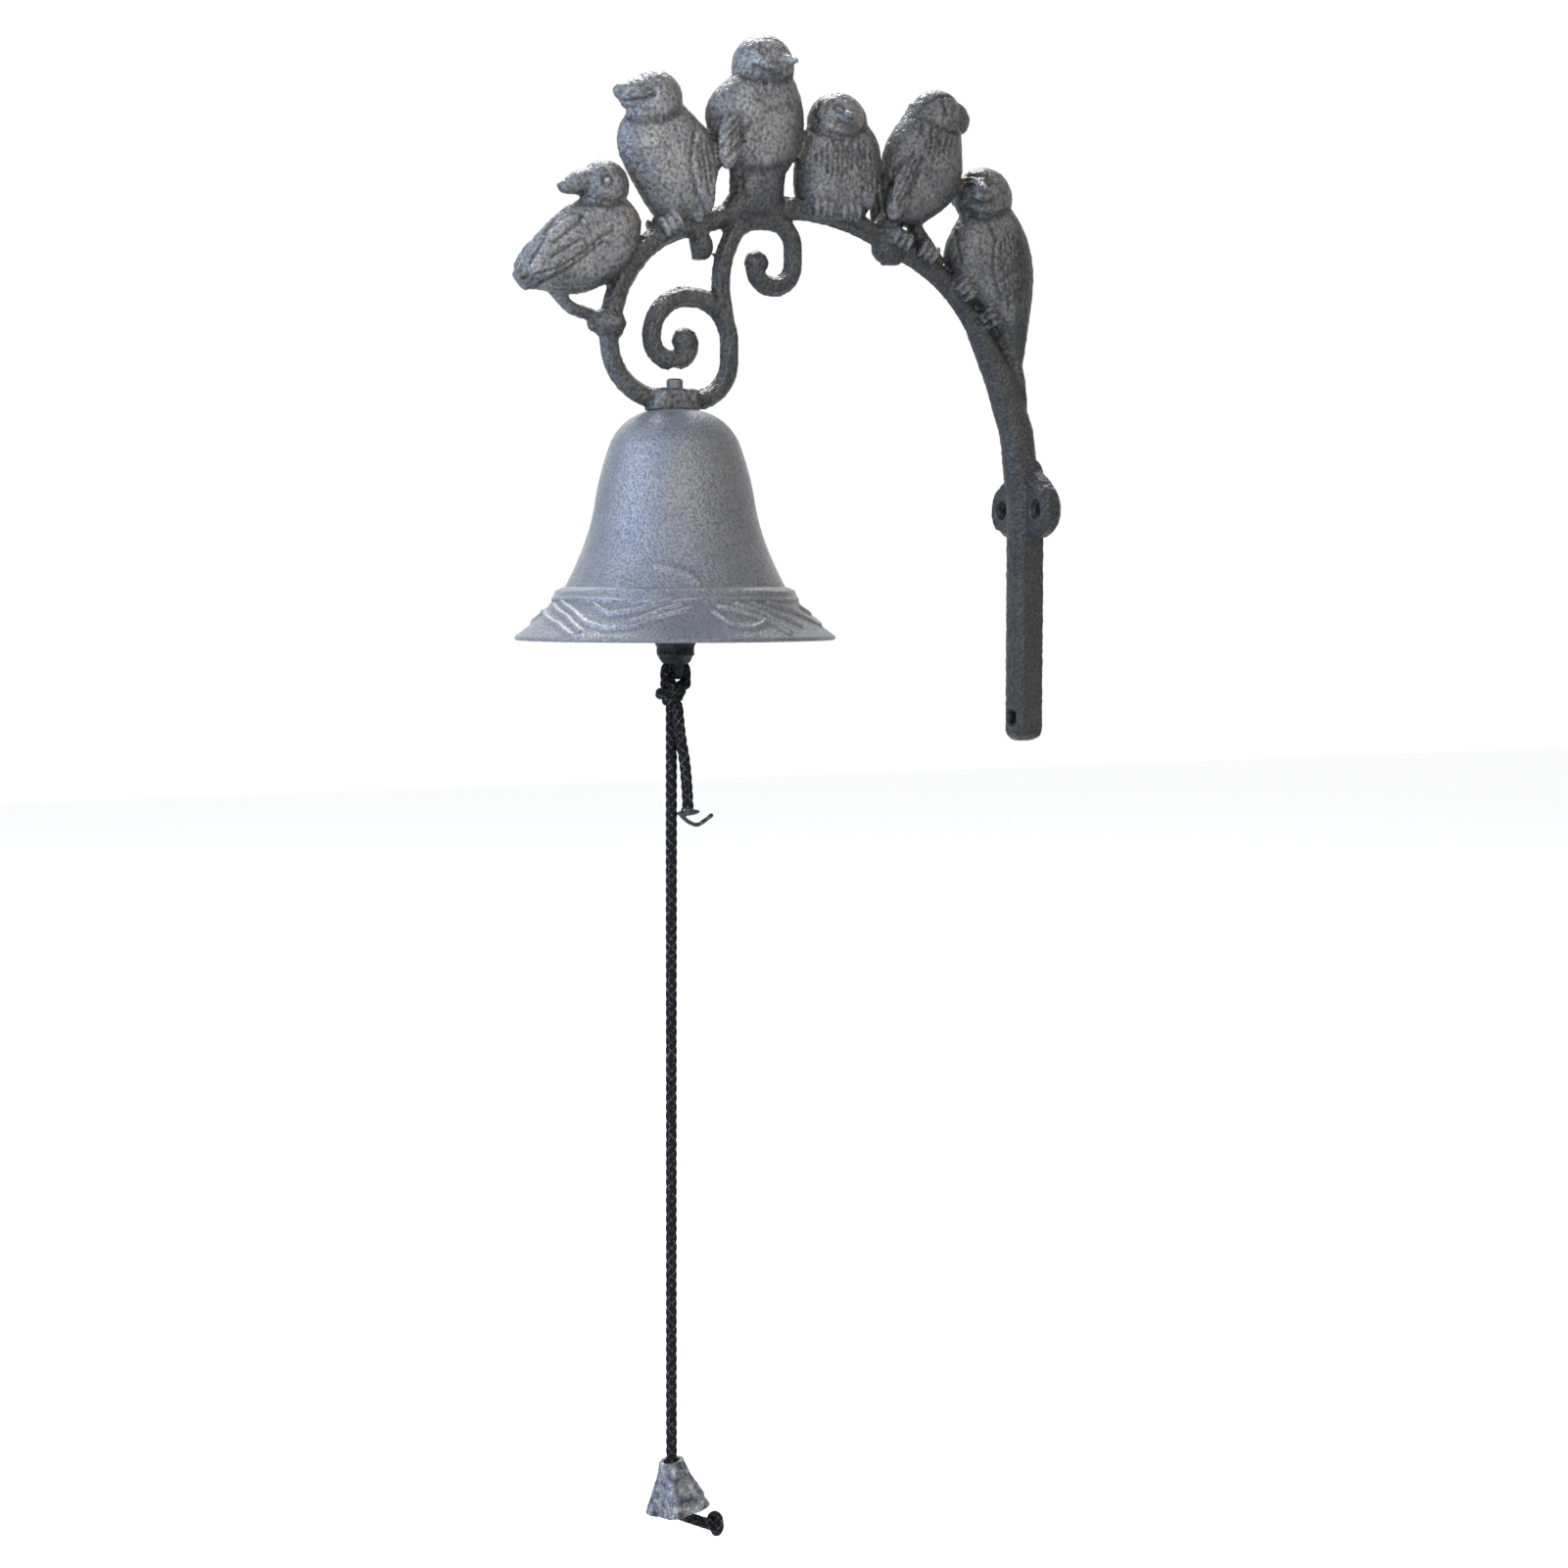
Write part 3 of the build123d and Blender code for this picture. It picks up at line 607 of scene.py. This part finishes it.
def make_bracket():
    pieces = []
    for side in (-1, 1):
        for x, z, depth, long, thick, wide, heading in wings + bills_on_face:
            pieces.append(lump(x, side * depth, z, long, thick, wide, heading))
        for x, z, heading in feet:
            along = math.radians(heading - 90)
            for step in (-1, 0, 1):
                toe_x = x + step * toe_gap * math.cos(along)
                toe_z = z + step * toe_gap * math.sin(along)
                toe = lump(toe_x, side * toe_depth, toe_z, long=3.8, thick=2.9, wide=1.25, heading=heading)
                pieces.append(toe)
        for x, z, radius in eyes:
            eyeball = radius * 0.55
            pieces.append(lump(x, side * eye_depth, z, long=eyeball, thick=2.0, wide=eyeball, heading=0))
    for x, z, long, thick, wide, heading in bills_and_tails:
        pieces.append(lump(x, 0, z, long, thick, wide, heading))
    pieces.append(merged_copy("bracket"))
    casting = joined("bracket_casting", pieces)
    remeshed(casting, voxel=0.78, smoothing=2)
    lines = feather_lines + [eye_ring(*eye) for eye in eyes]
    for area in downy:
        lines += down_strokes(*area)
    for side in (-1, 1):
        soft_guide = groove_guide("soft_guide", soft_lines, side, casting)
        # Painted shade: this mark darkens the paint in the soft hollows.
        press_in(casting, soft_guide, half_width=2.4, depth=0.8, mark="soft_hollow_shade")
        feather_guide = groove_guide("feather_guide", lines, side, casting)
        # Painted shade: this mark darkens the paint in the grooves.
        press_in(casting, feather_guide, half_width=0.95, depth=0.8, mark="groove_shade")
    press_in(casting, line_piece("ear_guide", ear_lines()), half_width=1.5, depth=-1.0)
    roughen(casting, size=1.5, height=0.5)
    only(casting)
    bpy.ops.object.shade_smooth()
    return casting


place(make_bracket(), bracket_paint, "frame", "bracket_iron", "bracket")


# Bell: a turned wall with a moulding, and a band of leaves on its flare

rim_drop = (bell_top_z - bell_low[2]) / MM
rim_radius = (bell_high[0] - bell_low[0]) / 2 / MM
flare_start = (42.3, -65.0)


def outer_profile():
    """The bell's outside from its top to its rim, as (radius, height from the top)."""
    rows = [(5, 0), (8.5, 0)]
    rows += bow((8.5, 0), (16.6, -3.8), (22, -10.8), 16)
    rows += bow((22, -10.8), (25.3, -21), (27.4, -31), 16)
    rows += bow((27.4, -31), (31.0, -45), (37.9, -60.2), 26)
    rows += bow((37.9, -60.2), (40.1, -61.0), (41.7, -63.0), 8)
    rows += bow((41.7, -63.0), (42.1, -64.0), flare_start, 4)
    rows += bow(flare_start, (47.2, -rim_drop + 7.6), (rim_radius - 0.6, -rim_drop + 1.6), 30)
    rows += bow((rim_radius - 0.6, -rim_drop + 1.6), (rim_radius, -rim_drop + 0.7),
                (rim_radius - 0.8, -rim_drop), 4)
    return rows


def inner_profile():
    """The bell's inside from its rim to its bore, as (radius, height from the top)."""
    inner_top = -3.3
    rows = [(rim_radius - 2.6, -rim_drop + 0.2)]
    rows += bow(rows[0], (45.0, -rim_drop + 5.6), (38.4, -66.5), 8)
    rows += bow((38.4, -66.5), (29.6, -49), (24.2, -31), 12)
    rows += bow((24.2, -31), (22.2, -21.4), (18.4, -13.4), 8)
    rows += bow((18.4, -13.4), (14.2, -6.6), (8.5, inner_top), 6)
    rows += [(2.1, inner_top), (2.1, 0)]
    return rows


def on_bell(line):
    """A line of (turn in degrees, drop from the top), as places on the bell's outside."""
    finer = []
    for before, after in zip(line, line[1:]):
        for step in range(6):
            t = step / 6
            finer.append((before[0] + (after[0] - before[0]) * t, before[1] + (after[1] - before[1]) * t))
    finer.append(line[-1])
    rows = outer_profile()
    places = []
    for turn, drop in finer:
        radius = rows[-1][0]
        for upper, lower in zip(rows, rows[1:]):
            if upper[1] >= -drop > lower[1]:
                share = (upper[1] + drop) / (upper[1] - lower[1])
                radius = upper[0] + share * (lower[0] - upper[0])
        angle = math.radians(turn)
        places.append((bell_axis_x + radius * math.cos(angle) * MM, radius * math.sin(angle) * MM,
                       bell_top_z - drop * MM))
    return places


# The leaves as the photograph shows them on the near half, as (turn, drop). The far half has them again
leaf_lines = [
    [(-154.1, 65.6), (-143.9, 69.1), (-131.1, 67.3), (-116.9, 63.9)],
    [(-134.8, 72.2), (-127.8, 70.0), (-121.5, 67.7), (-112.1, 65.5)],
    [(-130.0, 73.0), (-124.5, 70.4), (-116.8, 68.6), (-107.4, 66.8)],
    [(-195.1, 68.5), (-166.1, 72.8), (-155.4, 75.8)],
    [(-187.0, 66.2), (-165.4, 70.1), (-152.0, 74.5)],
    [(-179.3, 64.9), (-163.8, 68.3), (-151.7, 72.2)],
    [(-151.7, 72.2), (-140.0, 73.9), (-130.0, 73.0)],
    [(-98.2, 68.2), (-92.2, 72.6), (-83.5, 73.6), (-76.3, 71.4)],
    [(-86.6, 65.6), (-73.7, 69.2), (-67.3, 74.6)],
    [(-77.9, 65.6), (-65.4, 69.2), (-57.8, 73.3)],
    [(-68.6, 65.6), (-55.7, 67.5), (-46.5, 70.7)],
    [(-95.1, 66.4), (-84.3, 68.2), (-73.1, 72.3), (-69.5, 75.6)],
    [(-46.5, 70.7), (-36.0, 73.4), (-24.0, 72.0), (-14.0, 69.6)],
    [(-40.0, 67.0), (-30.0, 69.8), (-20.0, 68.4)],
    [(-124.8, 53.5), (-115.9, 53.9), (-107.3, 56.2), (-102.6, 58.8)],
]
moulding_lines = [
    [(-196, 61.6), (-165.8, 61.6), (-155.9, 61.1), (-133.0, 61.2), (-101.3, 61.0), (-79.9, 61.6),
     (-52.3, 61.8), (-16, 61.6)],
    [(-196, 64.2), (-152.5, 63.8), (-131.8, 64.6), (-116.9, 64.8), (-102.3, 63.9), (-86.6, 64.0),
     (-67.5, 64.2), (-34.3, 64.6), (-16, 64.2)],
]


def all_round(lines):
    """The lines on the near half and again on the far half, laid on the bell."""
    return [on_bell([(turn + half, drop) for turn, drop in line]) for line in lines for half in (0, 180)]


def make_bell():
    rows = outer_profile() + inner_profile() + [(5, 0)]
    mesh = bpy.data.meshes.new("bell_wall")
    verts = [(bell_axis_x + radius * MM, 0, bell_top_z + height * MM) for radius, height in rows]
    mesh.from_pydata(verts, [(step, step + 1) for step in range(len(verts) - 1)], [])
    bell = bpy.data.objects.new("bell_casting", mesh)
    bpy.context.collection.objects.link(bell)
    only(bell)
    bpy.ops.object.mode_set(mode="EDIT")
    bpy.ops.mesh.select_all(action="SELECT")
    bpy.ops.mesh.spin(steps=480, angle=math.tau, center=(bell_axis_x, 0, 0), axis=(0, 0, 1))
    bpy.ops.mesh.select_all(action="SELECT")
    bpy.ops.mesh.remove_doubles(threshold=1e-6)
    bpy.ops.mesh.normals_make_consistent(inside=False)
    bpy.ops.object.mode_set(mode="OBJECT")
    leaf_guide = line_piece("leaf_guide", all_round(leaf_lines))
    press_in(bell, leaf_guide, half_width=1.3, depth=-0.95, mark="worn")
    moulding_guide = line_piece("moulding_guide", all_round(moulding_lines))
    press_in(bell, moulding_guide, half_width=0.9, depth=-0.4, mark="worn")
    roughen(bell, size=1.4, height=0.16)
    only(bell)
    bpy.ops.object.shade_smooth_by_angle(angle=math.radians(50))
    return bell


place(make_bell(), bell_paint, "frame", "bell_iron", "bell")


# Hanger, link and clapper

for node, material, slot in (("hanger_pin", dull_wire, "pin_iron"), ("clapper_link", dull_wire, "link_wire")):
    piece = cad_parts[node]
    piece.data.materials.clear()
    piece.data.materials.append(material)


def make_clapper():
    """The clapper with the rough shoulder between its striker and its tab."""
    shoulder = lump(-146.0, 0, -51.2, long=6.3, thick=4.4, wide=4.8, heading=0)
    clapper = joined("clapper_casting", [shoulder, merged_copy("clapper")])
    remeshed(clapper, voxel=0.4, smoothing=3)
    roughen(clapper, size=1.6, height=0.35)
    only(clapper)
    bpy.ops.object.shade_smooth()
    return clapper


place(make_clapper(), clapper_paint, "striker", "clapper_iron", "clapper")


# Cord: routes as in the part, on one smooth line each

cord_radius = 2.0
weave_depth = 0.14

# Rings of a cord's round end: how far past its last place and how wide, as shares of the radius
round_end = ((0.2, 0.98), (0.53, 0.85), (0.8, 0.6), (0.95, 0.3))
end_rise = 0.05


def smooth_line(name, points):
    """Places along the smooth line that the route's points steer."""
    curve = bpy.data.curves.new(name, "CURVE")
    curve.dimensions = "3D"
    curve.resolution_u = 64
    line = curve.splines.new("NURBS")
    line.points.add(len(points) - 1)
    for point, (x, y, z) in zip(line.points, points):
        point.co = (x * MM, y * MM, z * MM, 1)
    line.order_u = 3
    line.use_endpoint_u = True
    holder = bpy.data.objects.new(name, curve)
    bare = bpy.data.meshes.new_from_object(holder)
    places = [vert.co.copy() for vert in bare.vertices]
    bpy.data.objects.remove(holder)
    bpy.data.curves.remove(curve)
    bpy.data.meshes.remove(bare)
    return places


def evenly(places, gap):
    """The same line with its places about one gap apart, as (place, millimetres from the start)."""
    reach = [0.0]
    for before, after in zip(places, places[1:]):
        reach.append(reach[-1] + (after - before).length)
    count = max(6, round(reach[-1] / (gap * MM)))
    rows = []
    leg = 0
    for step in range(count + 1):
        want = reach[-1] * step / count
        while leg < len(places) - 2 and reach[leg + 1] < want:
            leg += 1
        share = (want - reach[leg]) / (reach[leg + 1] - reach[leg])
        rows.append((places[leg].lerp(places[leg + 1], share), want / MM))
    return rows


def braided(name, places, radius=cord_radius, around=24, gap=0.4):
    """A braided tube with round ends along the line. Its crossing strands stand out a little, and braid_map
    follows them."""
    rows = evenly(places, gap)
    spots = [row[0] for row in rows]
    rings = []
    side = (spots[1] - spots[0]).orthogonal().normalized()
    for step, (spot, reach) in enumerate(rows):
        ahead = (spots[min(step + 1, len(spots) - 1)] - spots[max(step - 1, 0)]).normalized()
        side = (side - ahead * side.dot(ahead)).normalized()
        if step == 0:
            rings += [(spot - ahead * out * radius * MM, ahead, side.copy(), width, reach - out * radius)
                      for out, width in reversed(round_end)]
        rings.append((spot, ahead, side.copy(), 1.0, reach))
        if step == len(rows) - 1:
            rings += [(spot + ahead * out * radius * MM, ahead, side.copy(), width, reach + out * radius)
                      for out, width in round_end]
    verts = []
    for spot, ahead, side, width, reach in rings:
        across = ahead.cross(side)
        for corner in range(around):
            angle = math.tau * corner / around
            lay = math.tau * reach / strand_pitch
            weave = max(math.sin(strand_count * angle + lay), math.sin(strand_count * angle - lay))
            out = (radius - weave_depth * (1 - weave)) * width * MM
            verts.append(spot + (side * math.cos(angle) + across * math.sin(angle)) * out)
    faces = []
    laid = []
    for ring in range(len(rings) - 1):
        start = ring * around
        following = start + around
        near, far = rings[ring][4], rings[ring + 1][4]
        for corner in range(around):
            after = (corner + 1) % around
            faces.append((start + corner, start + after, following + after, following + corner))
            turns, turns_after = corner / around, (corner + 1) / around
            laid += [(turns, near), (turns_after, near), (turns_after, far), (turns, far)]
    for start, ring, outwards in ((0, rings[0], -1), ((len(rings) - 1) * around, rings[-1], 1)):
        verts.append(ring[0] + ring[1] * outwards * radius * end_rise * MM)
        for corner in range(around):
            fan = (start + corner, start + (corner + 1) % around, len(verts) - 1)
            faces.append(fan if outwards > 0 else tuple(reversed(fan)))
            laid += [(corner / around, ring[4])] * 3
    mesh = bpy.data.meshes.new(name)
    mesh.from_pydata(verts, [], faces)
    braid_map = mesh.uv_layers.new(name="braid_map")
    for corner, spot in zip(braid_map.data, laid):
        corner.uv = spot
    piece = bpy.data.objects.new(name, mesh)
    bpy.context.collection.objects.link(piece)
    only(piece)
    bpy.ops.object.shade_smooth()
    return piece


def turn_round(middle, axis, ring, start, sweep, climb, lean):
    """Points of a strand wound round an axis through a middle, for a knot: its ring's radius, start and sweep
    in degrees, climb along the axis, and how far the ring leans."""
    axis = Vector(axis).normalized()
    side = Vector((0, 1, 0)).cross(axis).normalized()
    across = axis.cross(side)
    steps = 14
    points = []
    for step in range(steps + 1):
        angle = math.radians(start + sweep * step / steps)
        rise = climb * (step / steps - 0.5) + lean * math.cos(angle)
        points.append(Vector(middle) + side * ring * math.cos(angle) + across * ring * math.sin(angle)
                      + axis * rise)
    return points


# The cord's top under the knot, and where it goes into the weight
cord_x = -147.6
cord_top_z = -68.5
weight_x = -148.6
weight_top_z = -334.3

pull_points = [
    (cord_x, 0, cord_top_z), (weight_x, 0, weight_top_z - 6),
    (weight_x + 0.4, 0, weight_top_z - 18.6), (weight_x + 7.5, 0, weight_top_z - 22.2),
    (weight_x + 17.2, 0, weight_top_z - 26.6)]
tail_points = [(-147.1, -3.95, -69.1), (-146.3, -3.95, -79.0), (-143.7, -3.55, -90.0), (-142.7, -2.8, -104.2)]
loop_points = [
    (-149.65, 0, -61.6), (-149.65, 0, -57.8), (-149.65, 0, -55.4),
    (-142.35, 0, -55.4), (-142.35, 0, -57.8), (-142.35, 0, -61.6)]
main_turn = turn_round((-147.9, 0, -64.0), (0, 0, 1), ring=3.5, start=-40, sweep=400, climb=1.6, lean=0.9)
neck_turn = turn_round((-147.4, -0.8, -66.2), (0, 0, 1), ring=1.9, start=90, sweep=400, climb=1.6, lean=0.5)
front_strand = [(-148.9, -2.4, -61.0), (-148.6, -3.3, -62.6), (-147.9, -3.3, -64.2), (-147.4, -2.2, -65.0)]
end_turn = turn_round(
    (-131.2, 0, -359.9), (0.93, 0, -0.38), ring=2.7, start=70, sweep=380, climb=2.4, lean=0.5)
end_tip = [(-133.0, 0, -359.9), (-131.0, 0, -360.4), (-130.3, 0, -360.6)]

pull_line = smooth_line("pull_line", pull_points)
pull_cord = place(braided("pull_cord_braid", pull_line), braid, "pull", "cord", "pull_cord")

tail_line = smooth_line("tail_line", tail_points)
tail = place(braided("tail_braid", tail_line), braid, "pull", "cord", "cord_tail")

place(braided("loop_braid", smooth_line("loop_line", loop_points)), braid, "striker", "cord", "cord_loop")

main_knot = joined("main_knot", [
    braided("knot_turn", smooth_line("knot_line", main_turn)),
    braided("knot_neck", smooth_line("neck_line", neck_turn)),
    braided("knot_front", smooth_line("front_line", front_strand))])
place(main_knot, braid, "striker", "cord")

end_knot = joined("end_knot", [
    braided("end_turn", smooth_line("end_line", end_turn), radius=1.7),
    braided("end_tip", smooth_line("tip_line", end_tip))])
place(end_knot, braid, "pull", "cord")


def make_melted_end():
    """The tail's melted end: a burr and the thin curl that was drawn out of it."""
    pieces = [
        lump(-142.6, -2.8, -105.9, long=4.4, thick=2.4, wide=1.1, heading=4),
        lump(-142.9, -2.8, -105.0, long=2.3, thick=2.3, wide=1.6, heading=0),
        lump(-144.6, -2.8, -106.9, long=1.2, thick=1.2, wide=0.9, heading=-30)]
    curl = smooth_line("curl_line", [
        (-145.2, -2.8, -106.8), (-143.6, -2.8, -108.6), (-139.6, -2.8, -110.6), (-137.2, -2.8, -109.6),
        (-133.8, -2.8, -107.2)])
    pieces.append(braided("curl", curl, radius=0.8, around=10, gap=0.5))
    burr = joined("melted_end", pieces)
    remeshed(burr, voxel=0.22, smoothing=3)
    only(burr)
    bpy.ops.object.shade_smooth()
    return burr


melted_end = place(make_melted_end(), melted_nylon, "pull", "cord")


# Pull weight: the casting's lobes softened

def make_weight():
    weight = merged_copy("pull_weight")
    weight.name = "weight_casting"
    remeshed(weight, voxel=0.3, smoothing=6)
    roughen(weight, size=1.8, height=0.45)
    only(weight)
    bpy.ops.object.shade_smooth()
    return weight


weight = place(make_weight(), weight_paint, "pull", "weight_iron", "pull_weight")


# Camera at the photograph's angle

camera_data = bpy.data.cameras.new("camera")
camera_data.lens = 61.84
camera_data.sensor_width = 36
camera_data.clip_end = 20
camera = bpy.data.objects.new("camera", camera_data)
bpy.context.collection.objects.link(camera)
camera_place = Vector((-0.5342, -0.8442, -0.0284))
camera_aim = Vector((-0.10404, 0, -0.09745))
camera.location = camera_place
camera.rotation_euler = (camera_aim - camera_place).to_track_quat("-Z", "Y").to_euler()
bpy.context.scene.camera = camera


# Pale floor and white surroundings, which stay white to the camera and take the shadow

floor_gap = 0.045
bpy.ops.mesh.primitive_plane_add(size=8, location=(0, 0, cad_low[2] - floor_gap))
floor = bpy.context.view_layer.objects.active
floor.name = "floor"
floor_paint = shader("floor_paint", (0.9, 0.9, 0.9), metallic=0, roughness=0.9)
set_numbers(floor_paint, {"Emission Color": (1, 1, 1, 1)})
floor_tree = floor_paint.node_tree
floor_path = floor_tree.nodes.new("ShaderNodeLightPath")
floor_glow = calculated(floor_tree, "MULTIPLY", floor_path.outputs["Is Camera Ray"], 0.75)
floor_tree.links.new(floor_glow, surface(floor_paint).inputs["Emission Strength"])
floor.data.materials.append(floor_paint)

world = bpy.data.worlds.new("surroundings")
world.use_nodes = True
bpy.context.scene.world = world
world_tree = world.node_tree
background = world_tree.nodes["Background"]
background.inputs["Color"].default_value = (1, 1, 1, 1)
world_path = world_tree.nodes.new("ShaderNodeLightPath")
rays = world_path.outputs
direct = calculated(world_tree, "MAXIMUM", rays["Is Camera Ray"], rays["Is Glossy Ray"])
direct = calculated(world_tree, "MAXIMUM", direct, rays["Is Transmission Ray"])
world_tree.links.new(stretched(world_tree, direct, 0, 1, 0.14, 1.0), background.inputs["Strength"])


def lamp(name, place_at, aim, size, power, color):
    """A rectangular lamp that looks from its place at the aim."""
    data = bpy.data.lights.new(name, "AREA")
    data.shape = "RECTANGLE"
    data.size = size[0]
    data.size_y = size[1]
    data.energy = power
    data.color = color
    piece = bpy.data.objects.new(name, data)
    bpy.context.collection.objects.link(piece)
    piece.location = place_at
    piece.rotation_euler = (Vector(aim) - Vector(place_at)).to_track_quat("-Z", "Y").to_euler()


lamp("sky_left", (-1.7, -0.1, 0.6), aim=(-0.1, 0, 0), size=(1.0, 1.2), power=48, color=(0.52, 0.7, 1.0))
lamp("overhead", (0.15, 0.8, 1.3), aim=(-0.1, 0, 0), size=(0.7, 0.5), power=28, color=(1, 1, 1))
lamp("front", (-0.5, -1.9, 0.9), aim=(-0.1, 0, -0.05), size=(0.9, 0.9), power=24, color=(1, 0.95, 0.89))

bpy.context.scene.view_settings.view_transform = "Standard"
